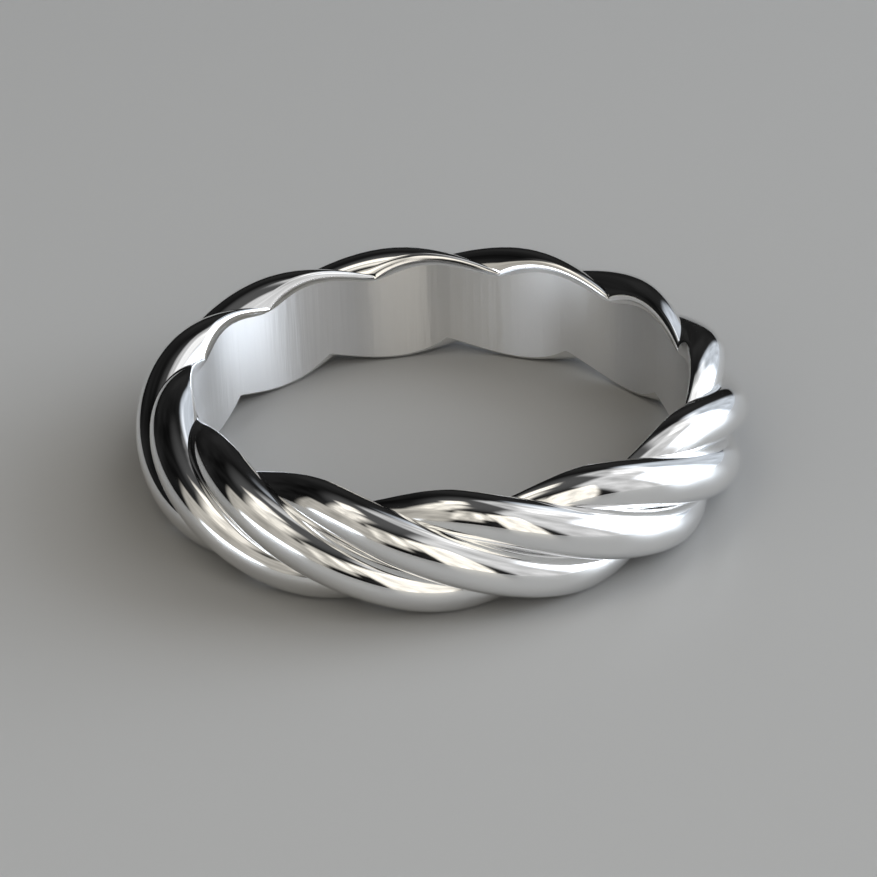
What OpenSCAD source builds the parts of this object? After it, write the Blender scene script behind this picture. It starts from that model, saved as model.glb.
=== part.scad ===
// Spiral ring: a rope of four round wires closed into a hoop, its inside cut to a plain finger hole.
// Millimetres. The ring's axis is Z and the centre of the finger hole is the origin.

/* [Finger hole] */
// inside diameter of the ring
bore_d = 17.2; // [14:0.1:20]

/* [Wires] */
// thickness of each round wire
wire_d = 1.71; // [1.71:0.01:1.85]

/* [Rope] */
// full turns that the rope makes on its way round the hoop
rope_turns = 3; // [3:1:5]
// how far the rope's centre line lies outside the wall of the finger hole
rope_offset = 0.5; // [0.4:0.01:0.7]
// how far the middle of a wire swings across the wall, from the rope's centre line
swing_out = 0.77; // [0.7:0.01:0.9]
// how far the middle of a wire swings along the finger, from the rope's centre line
swing_up = 1.29; // [1.15:0.01:1.29]
// how far the wires crowd towards the ring's two edges, in degrees of twist
crowding = 3; // [3:0.5:6]

/* [Twist] */
// twist at the right-hand side of the ring, in degrees
twist_start = 14; // [0:1:89]
// how far the hand-made twist runs ahead of and behind an even one, in degrees
twist_drift = 7; // [0:1:10]
// place on the hoop where the twist is furthest ahead, in degrees from the right-hand side
drift_place = 124; // [0:1:359]

/* [Hidden] */
wire_count = 4;
wire_r = wire_d / 2;
rope_r = bore_d / 2 + rope_offset;
quarter = 360 / wire_count;
// facets across one wire, and steps round the hoop
facets_across = 8;
steps_round = 144;
ring_points = wire_count * facets_across;
// halvings of the search for the groove between two wires, and the angles it starts from
halvings = 20;
groove_low = 45;
groove_high = 128;
// the cutter for the finger hole reaches past both faces of the ring
cutter_h = 4 * (swing_up + wire_r);
cutter_facets = 180;

// Direction from the rope's centre to wire w at place a on the hoop.
function twist_at(w, a) =
    let (even = twist_start - rope_turns * a + twist_drift * cos(a - drift_place) + quarter * w)
    even - crowding * sin(2 * even);

// Middle of a wire in the section, across the wall and along the finger.
function middle(f) = [swing_out * cos(f), swing_up * sin(f)];

// A round wire crosses the section at a slant, so the section cuts it in an oval: its half width.
function half_width(f) =
    wire_r * norm([1, rope_turns * norm([swing_out * sin(f), swing_up * cos(f)])
                      / (rope_r + swing_out * cos(f))]);

// Point on the oval of the wire at twist f, at angle t round the wire, 0 facing away from the rope's centre.
function on_wire(f, t) =
    middle(f) + [wire_r * cos(t) * cos(f) - half_width(f) * sin(t) * sin(f),
                 wire_r * cos(t) * sin(f) + half_width(f) * sin(t) * cos(f)];

// The point p as the oval of the wire at twist f sees it: 1 long on the oval, less inside it.
function seen_from(f, p) =
    let (d = p - middle(f))
    [(d[0] * cos(f) + d[1] * sin(f)) / wire_r, (d[1] * cos(f) - d[0] * sin(f)) / half_width(f)];

// Angle round wire f at which its surface sinks into the next wire, which is at twist g.
function groove(f, g, low = groove_low, high = groove_high, n = halvings) =
    n == 0 ? (low + high) / 2
    : let (mid = (low + high) / 2)
      norm(seen_from(g, on_wire(f, mid))) > 1 ? groove(f, g, mid, high, n - 1)
                                              : groove(f, g, low, mid, n - 1);

// Points of one wire, from its groove with the wire before it to just short of the next groove.
function wire_points(w, a) =
    let (before = twist_at(w - 1, a), own = twist_at(w, a), after = twist_at(w + 1, a),
         shared = seen_from(own, on_wire(before, groove(before, own))),
         first = atan2(shared[1], shared[0]),
         last = groove(own, after))
    [for (i = [0 : facets_across - 1]) on_wire(own, first + (last - first) * i / facets_across)];

// A point of the section set into the hoop at place a.
function set_in(p, a) = [(rope_r + p[0]) * cos(a), (rope_r + p[0]) * sin(a), p[1]];

function rope_surface() = [
    for (j = [0 : steps_round - 1], w = [0 : wire_count - 1])
        let (a = 360 * j / steps_round)
        for (p = wire_points(w, a)) set_in(p, a)
];

// Number of the point at step j round the hoop and place i round the rope, both closed loops.
function at(j, i) = (j % steps_round) * ring_points + i % ring_points;

function rope_faces() = [
    for (j = [0 : steps_round - 1], i = [0 : ring_points - 1], first_half = [true, false])
        first_half ? [at(j, i), at(j, i + 1), at(j + 1, i + 1)]
                   : [at(j, i), at(j + 1, i + 1), at(j + 1, i)]
];

module rope() {
    polyhedron(points = rope_surface(), faces = rope_faces(), convexity = 6);
}

module twisted_band() {
    color([0.87, 0.87, 0.88])
    difference() {
        rope();
        cylinder(h = cutter_h, d = bore_d, center = true, $fn = cutter_facets);
    }
}

twisted_band();
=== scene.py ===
import math

import bmesh
import bpy
import numpy as np
from mathutils import Matrix, Vector


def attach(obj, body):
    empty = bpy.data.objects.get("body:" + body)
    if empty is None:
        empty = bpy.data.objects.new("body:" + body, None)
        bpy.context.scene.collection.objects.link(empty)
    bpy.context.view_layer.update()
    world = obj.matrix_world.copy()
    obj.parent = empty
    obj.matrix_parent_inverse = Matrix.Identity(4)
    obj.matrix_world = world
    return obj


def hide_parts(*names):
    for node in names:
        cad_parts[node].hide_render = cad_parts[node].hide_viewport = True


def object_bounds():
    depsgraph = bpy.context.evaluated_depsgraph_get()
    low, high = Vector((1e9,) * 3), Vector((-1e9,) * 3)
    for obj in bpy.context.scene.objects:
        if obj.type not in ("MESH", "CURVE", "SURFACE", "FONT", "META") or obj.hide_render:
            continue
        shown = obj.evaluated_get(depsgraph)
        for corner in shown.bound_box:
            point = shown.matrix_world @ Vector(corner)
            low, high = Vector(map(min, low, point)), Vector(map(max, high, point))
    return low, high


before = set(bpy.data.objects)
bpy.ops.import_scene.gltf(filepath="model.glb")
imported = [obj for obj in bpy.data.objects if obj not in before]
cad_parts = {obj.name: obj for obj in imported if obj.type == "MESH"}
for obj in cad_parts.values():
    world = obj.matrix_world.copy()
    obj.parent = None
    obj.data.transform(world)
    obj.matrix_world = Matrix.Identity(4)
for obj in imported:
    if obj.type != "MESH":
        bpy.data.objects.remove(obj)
cad_low, cad_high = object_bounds()

MM = 0.001
FULL_TURN = 2 * math.pi

# The rope, in millimetres and radians, the same sizes as the part's source.
BORE_R = 8.6
WIRE_COUNT = 4
WIRE_R = 0.855
ROPE_TURNS = 3
ROPE_OFFSET = 0.5
ROPE_R = BORE_R + ROPE_OFFSET
SWING_OUT = 0.77
SWING_UP = 1.29
CROWDING = math.radians(3)
TWIST_START = math.radians(14)
TWIST_DRIFT = math.radians(7)
DRIFT_PLACE = math.radians(124)

# The rope's mesh: places round the hoop, facets across a wire, and how far facets gather near the grooves.
STEPS_ROUND = 768
FACETS_ACROSS = 32
GATHER = 0.6
# Angles round a wire between which its groove with the next one lies.
GROOVE_LOW = math.radians(45)
GROOVE_HIGH = math.radians(128)
# Halvings of the search for a groove, and of the search for the place where a facet meets the eased edge.
GROOVE_HALVINGS = 40
CUT_HALVINGS = 24

# The two inside edges, in millimetres: the upper one (side 1) is eased more than the lower one (side -1).
# How far each is eased across the wall and down the bore, and at least how far down in a cusp.
EASE_ACROSS = {1: 0.22, -1: 0.07}
EASE_DOWN = {1: 0.33, -1: 0.09}
EASE_LEAST = {1: 0.1, -1: 0.05}
# How far round the hoop polishing blunts the cusps of each.
CUSP_SPREAD = {1: math.radians(3.5), -1: math.radians(0.8)}
# Mesh rows over an eased edge, mesh columns round the hoop, and how far down the bore wall its rows lie.
EASE_STEPS = 8
COLUMNS = 1152
BORE_ROWS = (0.02, 0.1, 0.3, 0.5, 0.7, 0.9, 0.98)
# How far short of the eased edge the rope's own facets end, and how many places are searched for cusps.
LEAD = 0.04
FINE = 36000
# The part of an eased edge's width that shows how the rope's surface runs there, and a small angle.
NUDGE = 0.02
SMALL = 1e-4
# A height below the whole ring, and how far from the bore's radius a face of its wall may lie.
BELOW_ALL = -9.0
WALL_MARGIN = 0.001


def twist_at(wire, place):
    """Direction from the rope's centre to a wire, at a place on the hoop."""
    even = (TWIST_START - ROPE_TURNS * place + TWIST_DRIFT * np.cos(place - DRIFT_PLACE)
            + FULL_TURN / WIRE_COUNT * wire)
    return even - CROWDING * np.sin(2 * even)


def middle(twist):
    """Middle of a wire in the section: across the wall, along the finger."""
    return SWING_OUT * np.cos(twist), SWING_UP * np.sin(twist)


def half_width(twist):
    """A round wire crosses the section at a slant, so the section cuts it in an oval: its half width."""
    slant = ROPE_TURNS * np.hypot(SWING_OUT * np.sin(twist), SWING_UP * np.cos(twist)) / (
        ROPE_R + SWING_OUT * np.cos(twist))
    return WIRE_R * np.sqrt(1 + slant ** 2)


def on_wire(twist, angle):
    """Point of a wire's oval in the section: across the wall, along the finger."""
    out, up = middle(twist)
    u, v = WIRE_R * np.cos(angle), half_width(twist) * np.sin(angle)
    return out + u * np.cos(twist) - v * np.sin(twist), up + u * np.sin(twist) + v * np.cos(twist)


def seen_from(twist, out, up):
    """The same point as that wire's oval sees it: 1 long on the oval, less inside it."""
    m_out, m_up = middle(twist)
    d_out, d_up = out - m_out, up - m_up
    return ((d_out * np.cos(twist) + d_up * np.sin(twist)) / WIRE_R,
            (d_up * np.cos(twist) - d_out * np.sin(twist)) / half_width(twist))


def groove(own, after):
    """Angle round a wire at which its surface sinks into the next one."""
    low = np.full_like(own, GROOVE_LOW)
    high = np.full_like(own, GROOVE_HIGH)
    for _ in range(GROOVE_HALVINGS):
        mid = (low + high) / 2
        outside = np.hypot(*seen_from(after, *on_wire(own, mid))) > 1
        low, high = np.where(outside, mid, low), np.where(outside, high, mid)
    return (low + high) / 2


def wire_span(wire, place):
    """Angles round a wire at which it leaves the groove before it and sinks into the one after it."""
    before, own, after = (twist_at(wire + k, place) for k in (-1, 0, 1))
    across, around = seen_from(own, *on_wire(before, groove(before, own)))
    return np.arctan2(around, across), groove(own, after)


def set_in(place, wire, angle):
    """Radius and height of a point of the rope's surface."""
    out, up = on_wire(twist_at(wire, place), angle)
    return ROPE_R + out, up


def on_hoop(place, radius, height):
    """Point at a place on the hoop, with a radius and a height."""
    return np.stack((radius * np.cos(place), radius * np.sin(place), height), -1)


def rope_point(place, wire, angle):
    """Point of the rope's surface."""
    return on_hoop(place, *set_in(place, wire, angle))


def even_places(count):
    """Places spread evenly round the hoop."""
    return np.arange(count) * FULL_TURN / count


def short_way(angle):
    """The same turn as an angle, by the shorter way round."""
    return (angle + math.pi) % FULL_TURN - math.pi


def unit(vectors):
    """The same directions, 1 long."""
    return vectors / np.linalg.norm(vectors, axis=-1, keepdims=True)


def rope_facing(place, wire, angle):
    """Direction in which a wire's surface faces."""
    along = rope_point(place + SMALL, wire, angle) - rope_point(place - SMALL, wire, angle)
    across = rope_point(place, wire, angle + SMALL) - rope_point(place, wire, angle - SMALL)
    return unit(np.cross(along, across))


def edge_height(place, radius, side):
    """Height of the rope's outline at a radius: the highest of its wires (side 1) or the lowest (side -1)."""
    best = np.full_like(place, BELOW_ALL)
    for wire in range(WIRE_COUNT):
        twist = twist_at(wire, place)
        m_out, m_up = middle(twist)
        c, s, d = np.cos(twist), np.sin(twist), radius - ROPE_R - m_out
        depth, width = WIRE_R, half_width(twist)
        # The wire's oval meets the radius at the two heights h over its middle where a h h + b h + k is 0.
        a = (s / depth) ** 2 + (c / width) ** 2
        b = 2 * d * c * s * (1 / depth ** 2 - 1 / width ** 2)
        k = (d * c / depth) ** 2 + (d * s / width) ** 2 - 1
        inside = b * b - 4 * a * k
        root = np.sqrt(np.maximum(inside, 0))
        height = side * ((-b + side * root) / (2 * a) + m_up)
        best = np.where(inside > 0, np.maximum(best, height), best)
    return side * best


def cusps(radius, side, near=None):
    """Places of the outline's cusps at a radius: all of them, or for each place in `near` the closest one."""
    place = even_places(FINE)
    height = side * edge_height(place, radius, side)
    found = place[(height < np.roll(height, 1)) & (height <= np.roll(height, -1))]
    if near is None:
        return found
    gap = short_way(found[None, :] - near[:, None])
    return near + gap[np.arange(len(near)), np.abs(gap).argmin(1)]


def columns_between(found):
    """Places of the mesh columns of an eased edge, as many from each cusp to the next."""
    knots = np.append(found, found[0] + FULL_TURN)
    return np.interp(np.arange(COLUMNS) * len(found) / COLUMNS, np.arange(len(knots)), knots)


def wall_edge(place, side):
    """Height at which the bore wall goes over into the eased edge, its cusps blunted by polishing."""
    even = even_places(COLUMNS)
    waves = np.fft.rfftfreq(COLUMNS, 1 / COLUMNS) * CUSP_SPREAD[side]
    blunted = np.fft.irfft(np.fft.rfft(edge_height(even, BORE_R, side)) * np.exp(-waves ** 2 / 2), COLUMNS)
    corner = edge_height(place, BORE_R, side)
    return side * np.minimum(side * np.interp(place, even, blunted, period=FULL_TURN) - EASE_DOWN[side],
                             side * corner - EASE_LEAST[side])


def inward(place):
    """Direction in which the bore wall faces."""
    return on_hoop(place, -1, 0 * place)


def eased_edge(side):
    """Rows from the rope's surface over the eased edge to the bore wall, on curves that start along the
    rope's surface and end along the wall. Each row has its places, radius and heights, and the directions
    that it faces after and before each column, different at a cusp. Also where the first row's columns meet
    the rope's rim."""
    outer = BORE_R + EASE_ACROSS[side]
    bore_cusps = cusps(BORE_R, side)
    rim_place = columns_between(cusps(outer + LEAD, side, bore_cusps))
    start_place = columns_between(cusps(outer, side, bore_cusps))
    end_place = columns_between(bore_cusps)
    start = edge_height(start_place, outer, side)
    ahead_place = start_place + NUDGE * (end_place - start_place)
    ahead = edge_height(ahead_place, outer - NUDGE * EASE_ACROSS[side], side)
    turn = start + (ahead - start) / NUDGE
    end = wall_edge(end_place, side)
    at_cusp = (np.arange(COLUMNS) % (COLUMNS // len(bore_cusps)) == 0)[:, None]
    rows = []
    for t in np.linspace(0, 1, EASE_STEPS + 1):
        near_start, near_turn, near_end = (1 - t) ** 2, 2 * t * (1 - t), t ** 2
        place = near_start * start_place + (near_turn + near_end) * end_place
        radius = near_start * outer + (near_turn + near_end) * BORE_R
        height = near_start * start + near_turn * turn + near_end * end
        # The curve's own direction, then the row's direction on either side of each column.
        d_place = ((1 - t) * (end_place - start_place))[:, None]
        d_radius = (1 - t) * (BORE_R - outer)
        d_height = ((1 - t) * (turn - start) + t * (end - turn))[:, None]
        down = (d_radius * on_hoop(place, 1, 0 * place)
                + d_place * on_hoop(place + math.pi / 2, radius, 0 * place)
                + d_height * np.array((0, 0, 1)))
        spots = on_hoop(place, radius, height)
        one, two, back, far_back = (np.roll(spots, k, 0) for k in (-1, -2, 1, 2))
        after = np.where(at_cusp, 4 * one - 3 * spots - two, one - back)
        before = np.where(at_cusp, 3 * spots - 4 * back + far_back, one - back)
        facing = [unit(side * np.cross(along, down)) for along in (after, before)]
        rows.append((place, radius, height, facing))
    # The last row faces as the wall does.
    rows[-1][3][:] = [inward(end_place)] * 2
    return rim_place, rows


def rope_grid():
    """The whole rope as one grid of points for each wire: places on the hoop, angles round the wire, radii,
    heights, numbers of the points, shared where wires meet, and the directions that the surface faces."""
    step = np.arange(STEPS_ROUND + 1)
    facet = np.arange(FACETS_ACROSS + 1)
    place = step * FULL_TURN / STEPS_ROUND
    even = facet / FACETS_ACROSS
    share = even - GATHER * np.sin(FULL_TURN * even) / FULL_TURN
    per_ring = WIRE_COUNT * FACETS_ACROSS
    grids = []
    for wire in range(WIRE_COUNT):
        first, last = wire_span(wire, place)
        angle = first[:, None] + (last - first)[:, None] * share[None, :]
        places = np.repeat(place[:, None], FACETS_ACROSS + 1, 1)
        radius, height = set_in(places, wire, angle)
        number = ((step % STEPS_ROUND)[:, None] * per_ring
                  + (wire * FACETS_ACROSS + facet)[None, :] % per_ring)
        grids.append((places, angle, radius, height, number, rope_facing(places, wire, angle)))
    return grids


def crossing(wire, a, b, cut_r):
    """Where the surface between two grid points, each a place and an angle, meets a radius."""
    def radius(spot):
        return set_in(spot[0], wire, spot[1])[0]

    low, high = (a, b) if radius(a) < cut_r else (b, a)
    for _ in range(CUT_HALVINGS):
        mid = ((low[0] + high[0]) / 2, (low[1] + high[1]) / 2)
        low, high = (mid, high) if radius(mid) < cut_r else (low, mid)
    return mid


def clip_to_bore(grids):
    """Points of the rope outside the eased edges, its faces, each a list of its points and the directions
    that they face, and the sides of faces that form its rims. Faces that cross the edges are cut there."""
    points, numbers, faces, rim = [], {}, [], []

    def keep(key, place, radius, height):
        if key not in numbers:
            numbers[key] = len(points)
            points.append((radius * math.cos(place), radius * math.sin(place), height))
        return numbers[key]

    for wire, (places, angles, radii, heights, number, facing) in enumerate(grids):
        def corner(c):
            return keep(number[c], places[c], radii[c], heights[c]), facing[c]

        seam = {}
        cut_r = BORE_R + LEAD + np.where(heights > 0, EASE_ACROSS[1], EASE_ACROSS[-1])
        outside = radii > cut_r
        count = (outside[:-1, :-1].astype(int) + outside[1:, :-1] + outside[1:, 1:] + outside[:-1, 1:])
        for j, i in zip(*np.nonzero(count)):
            corners = ((j, i), (j, i + 1), (j + 1, i + 1), (j + 1, i))
            if count[j, i] == 4:
                faces.append([corner(c) for c in corners])
                continue
            ring, cut = [], []
            for c, n in zip(corners, corners[1:] + corners[:1]):
                if outside[c]:
                    ring.append(corner(c))
                if outside[c] != outside[n]:
                    key = (min(number[c], number[n]), max(number[c], number[n]))
                    if key not in seam:
                        ends = (places[c], angles[c]), (places[n], angles[n])
                        place, angle = crossing(wire, *ends, cut_r[c])
                        height = set_in(place, wire, angle)[1]
                        seam[key] = keep(key, place, cut_r[c], height), rope_facing(place, wire, angle)
                    ring.append(seam[key])
                    cut.append((numbers[key], outside[c]))
            faces.append(ring)
            if len(cut) == 2:
                (one, leaves), (other, _) = cut
                rim.append((one, other) if leaves else (other, one))
    return points, faces, rim


def rim_loops(rim):
    """The cut's two closed loops of points."""
    after = dict(rim)
    loops = []
    while after:
        start, step = after.popitem()
        loop = [start]
        while step != start:
            loop.append(step)
            step = after.pop(step)
        loops.append(loop)
    return loops


def in_order(loop, place):
    """A closed loop turned so that its places on the hoop rise from the smallest."""
    place = np.asarray(place) % FULL_TURN
    first = int(place.argmin())
    return list(loop[first:]) + list(loop[:first]), np.roll(place, -first)


def zip_loops(loop, loop_place, row, row_place, facings, faces):
    """Triangles between two closed loops, both in order of place but with points at different places. A
    point on a groove faces two ways, and each triangle takes the one nearer to its other points'."""
    loop, loop_place = in_order(loop, loop_place)
    row, row_place = in_order(row, row_place)

    def add(*triangle):
        guide = min((facings[point] for point in triangle), key=len)[0]
        faces.append([(point, max(facings[point], key=guide.dot)) for point in triangle])

    i = j = 0
    n, m = len(loop), len(row)
    while i < n or j < m:
        next_loop = loop_place[(i + 1) % n] + FULL_TURN * ((i + 1) // n)
        next_row = row_place[(j + 1) % m] + FULL_TURN * ((j + 1) // m)
        if j >= m or (i < n and next_loop <= next_row):
            add(loop[i % n], loop[(i + 1) % n], row[j % m])
            i += 1
        else:
            add(loop[i % n], row[(j + 1) % m], row[j % m])
            j += 1


def add_row(points, facings, place, radius, height, facing):
    """Numbers of the points of a new row round the hoop, with the ways it faces after and before each."""
    first = len(points)
    points.extend(on_hoop(place, radius, height))
    for k, (after, before) in enumerate(zip(*facing)):
        facings[first + k] = [after] if (after == before).all() else [after, before]
    return list(range(first, len(points)))


def add_band(faces, facings, rows):
    """Faces between rows that have their columns in common."""
    for upper, lower in zip(rows, rows[1:]):
        for c in range(len(upper)):
            n = (c + 1) % len(upper)
            faces.append([(upper[c], facings[upper[c]][0]), (lower[c], facings[lower[c]][0]),
                          (lower[n], facings[lower[n]][-1]), (upper[n], facings[upper[n]][-1])])


def ring_mesh():
    """The whole ring as one closed mesh, the rope's outside, two eased edges and the bore wall, and the
    number of rims at which the rope's outside meets the edges."""
    points, faces, rim = clip_to_bore(rope_grid())
    loops = rim_loops(rim)
    facings = {point: [] for loop in loops for point in loop}
    for face in faces:
        for point, facing in face:
            if point in facings and not any((facing == known).all() for known in facings[point]):
                facings[point].append(facing)
    even = even_places(COLUMNS)
    high, low = wall_edge(even, 1), wall_edge(even, -1)
    wall = [add_row(points, facings, even, BORE_R, high + (low - high) * share, [inward(even)] * 2)
            for share in BORE_ROWS]
    for loop in loops:
        side = 1 if sum(points[k][2] for k in loop) > 0 else -1
        where = [math.atan2(points[k][1], points[k][0]) for k in loop]
        if sum(short_way(b - a) for a, b in zip(where, where[1:])) < 0:
            loop, where = loop[::-1], where[::-1]
        rim_place, rows = eased_edge(side)
        numbers = [add_row(points, facings, *row) for row in rows]
        zip_loops(loop, where, numbers[0], rim_place, facings, faces)
        add_band(faces, facings, numbers)
        zip_loops(numbers[-1], rows[-1][0], wall[0] if side > 0 else wall[-1], even, facings, faces)
    add_band(faces, facings, wall)
    mesh = bpy.data.meshes.new("twisted_band")
    mesh.from_pydata([(x * MM, y * MM, z * MM) for x, y, z in points], [],
                     [[point for point, _ in face] for face in faces])
    work = bmesh.new()
    work.from_mesh(mesh)
    bmesh.ops.recalc_face_normals(work, faces=work.faces)
    work.to_mesh(mesh)
    work.free()
    mesh.update()
    shade(mesh, faces)
    return mesh, len(loops)


def shade(mesh, faces):
    """Smooth shading in the directions worked out for each face's points, so that the grooves stay crisp."""
    mesh.shade_smooth()
    corners = np.empty((len(mesh.loops), 3))
    for polygon, face in zip(mesh.polygons, faces):
        facing = dict(face)
        for k in polygon.loop_indices:
            corners[k] = facing[mesh.loops[k].vertex_index]
    mesh.normals_split_custom_set(corners.tolist())


mesh, loop_count = ring_mesh()
ring = bpy.data.objects.new("ring", mesh)
bpy.context.scene.collection.objects.link(ring)

# Noise lies mostly between these two values.
NOISE_LOW, NOISE_HIGH = 0.3, 0.7


def new_material(name):
    """A new material, with its nodes, their links and its shader."""
    material = bpy.data.materials.new(name)
    material.use_nodes = True
    nodes = material.node_tree.nodes
    return material, nodes, material.node_tree.links, nodes["Principled BSDF"]


def arithmetic(nodes, links, operation, first, second=None):
    """Result of one step of arithmetic on an output and, where needed, on a second output or a number."""
    node = nodes.new("ShaderNodeMath")
    node.operation = operation
    links.new(first, node.inputs[0])
    if isinstance(second, bpy.types.NodeSocket):
        links.new(second, node.inputs[1])
    elif second is not None:
        node.inputs[1].default_value = second
    return node.outputs[0]


def ranged(nodes, links, value, from_low, from_high, low, high, smooth=False, clamp=True):
    """A value carried from one range to another, evenly or easing in and out."""
    node = nodes.new("ShaderNodeMapRange")
    node.clamp = clamp
    if smooth:
        node.interpolation_type = "SMOOTHSTEP"
    node.inputs["From Min"].default_value = from_low
    node.inputs["From Max"].default_value = from_high
    node.inputs["To Min"].default_value = low
    node.inputs["To Max"].default_value = high
    links.new(value, node.inputs["Value"])
    return node.outputs[0]


def clouds(nodes, links, where, scale, detail):
    """Plain noise."""
    texture = nodes.new("ShaderNodeTexNoise")
    texture.inputs["Scale"].default_value = scale
    texture.inputs["Detail"].default_value = detail
    links.new(where, texture.inputs["Vector"])
    return texture.outputs["Fac"]


def noise(nodes, links, where, scale, detail, low=0.0, high=1.0):
    """Noise stretched to run mostly from low to high."""
    plain = clouds(nodes, links, where, scale, detail)
    return ranged(nodes, links, plain, NOISE_LOW, NOISE_HIGH, low, high, clamp=False)


def mixed(nodes, links, share, first, second):
    """A colour between two, by a share."""
    ramp = nodes.new("ShaderNodeValToRGB")
    ramp.color_ramp.elements[0].color = (*first, 1)
    ramp.color_ramp.elements[1].color = (*second, 1)
    links.new(share, ramp.inputs["Fac"])
    return ramp.outputs["Color"]


def bumped(nodes, links, shader, height, depth):
    """Gives a shader a bump of that depth in metres."""
    bump = nodes.new("ShaderNodeBump")
    bump.inputs["Strength"].default_value = 1
    bump.inputs["Distance"].default_value = depth
    links.new(height, bump.inputs["Height"])
    links.new(bump.outputs[0], shader.inputs["Normal"])


def polished_silver():
    """The rope's high polish: a mirror with the faint unevenness of hand polishing."""
    material, nodes, links, shader = new_material("polished_silver")
    where = nodes.new("ShaderNodeTexCoord").outputs["Object"]
    shader.inputs["Metallic"].default_value = 1
    patches = noise(nodes, links, where, scale=350, detail=2)
    colour = mixed(nodes, links, patches, (0.90, 0.90, 0.905), (0.95, 0.95, 0.945))
    links.new(colour, shader.inputs["Base Color"])
    polish = noise(nodes, links, where, scale=900, detail=3, low=0.03, high=0.075)
    links.new(polish, shader.inputs["Roughness"])
    waves = noise(nodes, links, where, scale=1300, detail=1)
    bumped(nodes, links, shader, waves, depth=1.2e-6)
    return material


def bore_silver():
    """The bore's satin finish: its polishing lines run round the finger and spread each highlight upwards."""
    material, nodes, links, shader = new_material("bore_silver")
    where = nodes.new("ShaderNodeTexCoord").outputs["Object"]
    shader.inputs["Metallic"].default_value = 1
    patches = noise(nodes, links, where, scale=180, detail=0, low=0.15, high=0.85)
    colour = mixed(nodes, links, patches, (0.87, 0.87, 0.875), (0.94, 0.94, 0.94))
    links.new(colour, shader.inputs["Base Color"])
    round_finger = nodes.new("ShaderNodeTangent")
    round_finger.direction_type = "RADIAL"
    round_finger.axis = "Z"
    links.new(round_finger.outputs[0], shader.inputs["Tangent"])
    shader.inputs["Anisotropic"].default_value = 1.0
    shader.inputs["Anisotropic Rotation"].default_value = 0.25
    satin = noise(nodes, links, where, scale=250, detail=0, low=0.34, high=0.40)
    links.new(satin, shader.inputs["Roughness"])
    # Upright ripples, hardly changing up the wall, break each highlight into fine upright streaks.
    flatten = nodes.new("ShaderNodeMapping")
    flatten.inputs["Scale"].default_value = (1, 1, 0.05)
    links.new(where, flatten.inputs["Vector"])
    ripples = noise(nodes, links, flatten.outputs[0], scale=4000, detail=2)
    bumped(nodes, links, shader, ripples, depth=5e-6)
    return material


ring.data.materials.append(polished_silver())
ring.data.materials.append(bore_silver())
for face in ring.data.polygons:
    x, y, _ = face.center
    if math.hypot(x, y) < (BORE_R + WALL_MARGIN) * MM:
        face.material_index = 1
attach(ring, "root")
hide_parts("twisted_band")

# The floor's half width, in metres.
FLOOR_REACH = 2.5


def pale_floor():
    """The plain pale floor that the ring lies on, with hardly any shine."""
    reach = FLOOR_REACH
    plane = bpy.data.meshes.new("floor")
    plane.from_pydata([(-reach, -reach, 0), (reach, -reach, 0), (reach, reach, 0), (-reach, reach, 0)], [],
                      [(0, 1, 2, 3)])
    floor = bpy.data.objects.new("floor", plane)
    floor.location.z = cad_low.z
    bpy.context.scene.collection.objects.link(floor)
    material, _, _, shader = new_material("pale_floor")
    shader.inputs["Base Color"].default_value = (0.67, 0.67, 0.665, 1)
    shader.inputs["Roughness"].default_value = 0.3
    shader.inputs["Specular IOR Level"].default_value = 0.1
    plane.materials.append(material)


pale_floor()

# The lights: their distance in metres and their tints.
LIGHT_DISTANCE = 0.6
COOL, WARM, PLAIN = (0.84, 0.91, 1), (1, 0.95, 0.85), (1, 1, 1)
# Each light's azimuths (0 in front of the ring, 90 to its right) and elevations, from and to, in degrees,
# then its radiance, its tint and the share of its width and height over which it fades towards each edge.
LIGHTS = {
    "right": (70, 132, -16, 47, 2.8, COOL, 0.25),
    "right_low": (78, 122, -16, 26, 3.8, COOL, 0.3),
    "right_high": (98, 138, 32, 66, 0.6, PLAIN, 0.25),
    "right_wide": (33, 100, -16, 74, 0.68, PLAIN, 0.15),
    "right_rear": (118, 158, -10, 54, 0.7, COOL, 0.2),
    "right_top": (100, 160, 36, 80, 0.5, PLAIN, 0.2),
    "front_right": (3, 35, -20, 56, 1.2, WARM, 0.14),
    "front": (-30, -2, 8, 56, 0.6, WARM, 0.2),
    "left_low": (-80, -36, -16, 12, 5.4, COOL, 0.35),
    "left_middle": (-90, -21, -12, 46, 0.45, WARM, 0.12),
    "front_high": (-14, 6, 20, 50, 0.75, WARM, 0.3),
    "left_high": (-84, -24, 38, 80, 0.95, WARM, 0.3),
    "left_top": (-130, -50, 68, 88, 1.2, WARM, 0.3),
}


def direction(azimuth, elevation):
    """Direction from the ring, with an azimuth of 0 to the front and a quarter turn to the right."""
    return Vector((math.sin(azimuth) * math.cos(elevation), -math.cos(azimuth) * math.cos(elevation),
                   math.sin(elevation)))


def glow(nodes, links, soft):
    """Brightness over a softbox: uneven, and fading towards its edges."""
    where = nodes.new("ShaderNodeNewGeometry").outputs["Parametric"]
    split = nodes.new("ShaderNodeSeparateXYZ")
    links.new(where, split.inputs[0])
    fades = []
    for across in split.outputs[:2]:
        off_middle = arithmetic(nodes, links, "SUBTRACT", across, 0.5)
        distance = arithmetic(nodes, links, "ABSOLUTE", off_middle)
        fades.append(ranged(nodes, links, distance, 0.5, 0.5 - soft, 0, 1, smooth=True))
    both = arithmetic(nodes, links, "MULTIPLY", *fades)
    patches = noise(nodes, links, where, scale=5, detail=3, low=0.7, high=1.2)
    return arithmetic(nodes, links, "MULTIPLY", both, patches)


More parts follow.
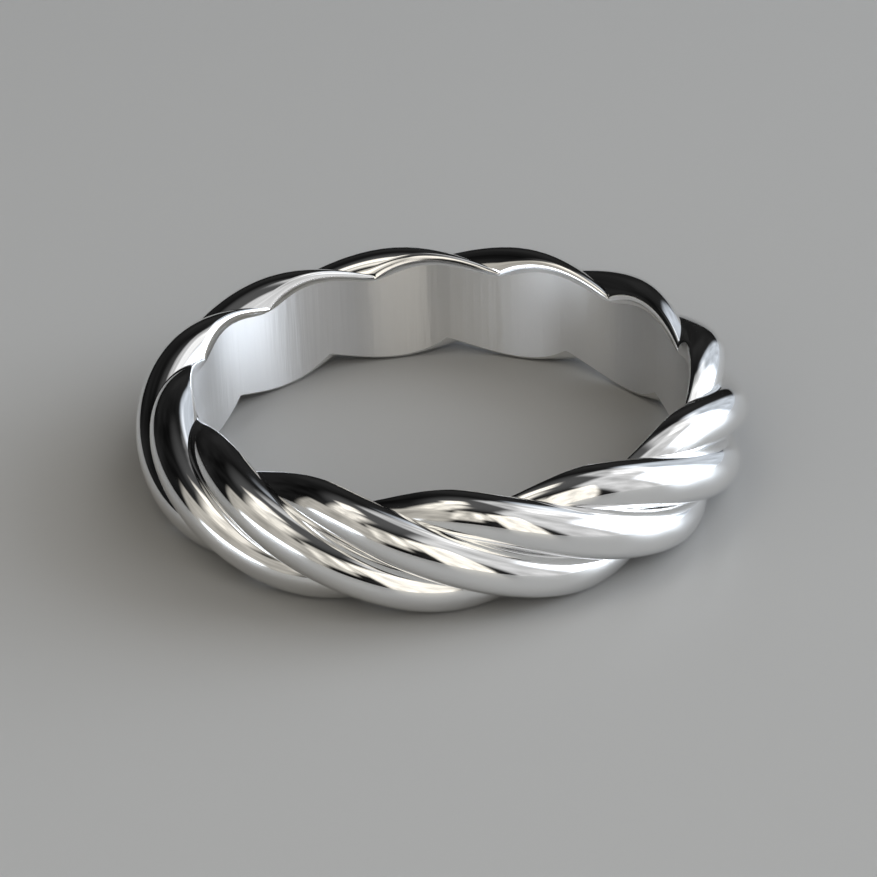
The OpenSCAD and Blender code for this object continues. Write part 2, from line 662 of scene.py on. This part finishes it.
def softbox(name, left, right, low, high, radiance, tint, soft):
    """A soft light facing the ring, between two azimuths and two elevations."""
    azimuth, elevation = math.radians((left + right) / 2), math.radians((low + high) / 2)
    data = bpy.data.lights.new(name, "AREA")
    data.shape = "RECTANGLE"
    data.size = 2 * LIGHT_DISTANCE * math.tan(math.radians((right - left) / 2)) * math.cos(elevation)
    data.size_y = 2 * LIGHT_DISTANCE * math.tan(math.radians((high - low) / 2))
    data.energy = radiance * data.size * data.size_y * math.pi
    data.color = tint
    data.use_nodes = True
    nodes, links = data.node_tree.nodes, data.node_tree.links
    links.new(glow(nodes, links, soft), nodes["Emission"].inputs["Strength"])
    light = bpy.data.objects.new(name, data)
    back = direction(azimuth, elevation)
    light.location = back * LIGHT_DISTANCE
    light.rotation_mode = "QUATERNION"
    light.rotation_quaternion = back.to_track_quat("Z", "Y")
    light.visible_camera = False
    bpy.context.scene.collection.objects.link(light)


for name, values in LIGHTS.items():
    softbox(name, *values)


def studio():
    """The room beyond the lights: dim and uneven all round, a little lighter overhead."""
    world = bpy.data.worlds.new("room")
    world.use_nodes = True
    nodes, links = world.node_tree.nodes, world.node_tree.links
    where = nodes.new("ShaderNodeTexCoord").outputs["Generated"]
    split = nodes.new("ShaderNodeSeparateXYZ")
    links.new(where, split.inputs[0])
    overhead = ranged(nodes, links, split.outputs["Z"], 0.8, 1.0, low=0.0, high=0.08, smooth=True)
    patches = clouds(nodes, links, where, scale=1.6, detail=2)
    all_round = ranged(nodes, links, patches, 0.35, NOISE_HIGH, low=0.004, high=0.022)
    nodes["Background"].inputs["Color"].default_value = (1, 1, 1, 1)
    links.new(arithmetic(nodes, links, "ADD", overhead, all_round), nodes["Background"].inputs["Strength"])
    bpy.context.scene.world = world


studio()

# The camera, as the photograph's: the frame's width, the focal length and the ring's centre in pixels.
FRAME_PX = 877
FOCAL_PX = 3284
CENTRE_PX = (442.2, 415.9)
# Its elevation and roll, its distance in metres and its sensor's width in millimetres.
ELEVATION = math.radians(28.8)
ROLL = math.radians(-1.76)
DISTANCE = 0.1152
SENSOR = 36.0
# How near and how far it sees, in metres.
NEAREST, FURTHEST = 0.01, 10


def photo_camera():
    """The camera at the photograph's angle, turned until the ring's centre falls where it does there."""
    data = bpy.data.cameras.new("camera")
    data.sensor_width = SENSOR
    data.lens = SENSOR * FOCAL_PX / FRAME_PX
    data.clip_start, data.clip_end = NEAREST, FURTHEST
    camera = bpy.data.objects.new("camera", data)
    back = direction(0, ELEVATION)
    turn = (-back).to_track_quat("-Z", "Y").to_matrix()
    turn = turn @ Matrix.Rotation(ROLL, 3, "Z")
    aim_x = (CENTRE_PX[0] - FRAME_PX / 2) / FOCAL_PX
    aim_y = (FRAME_PX / 2 - CENTRE_PX[1]) / FOCAL_PX
    turn = turn @ Matrix.Rotation(math.atan(aim_x), 3, "Y") @ Matrix.Rotation(-math.atan(aim_y), 3, "X")
    camera.matrix_world = Matrix.Translation(back * DISTANCE) @ turn.to_4x4()
    bpy.context.scene.collection.objects.link(camera)
    bpy.context.scene.camera = camera


photo_camera()
bpy.context.scene.view_settings.view_transform = "Standard"
# The photograph's black ground shows no light thrown back by the ring, so none falls on this floor.
bpy.context.scene.cycles.caustics_reflective = False
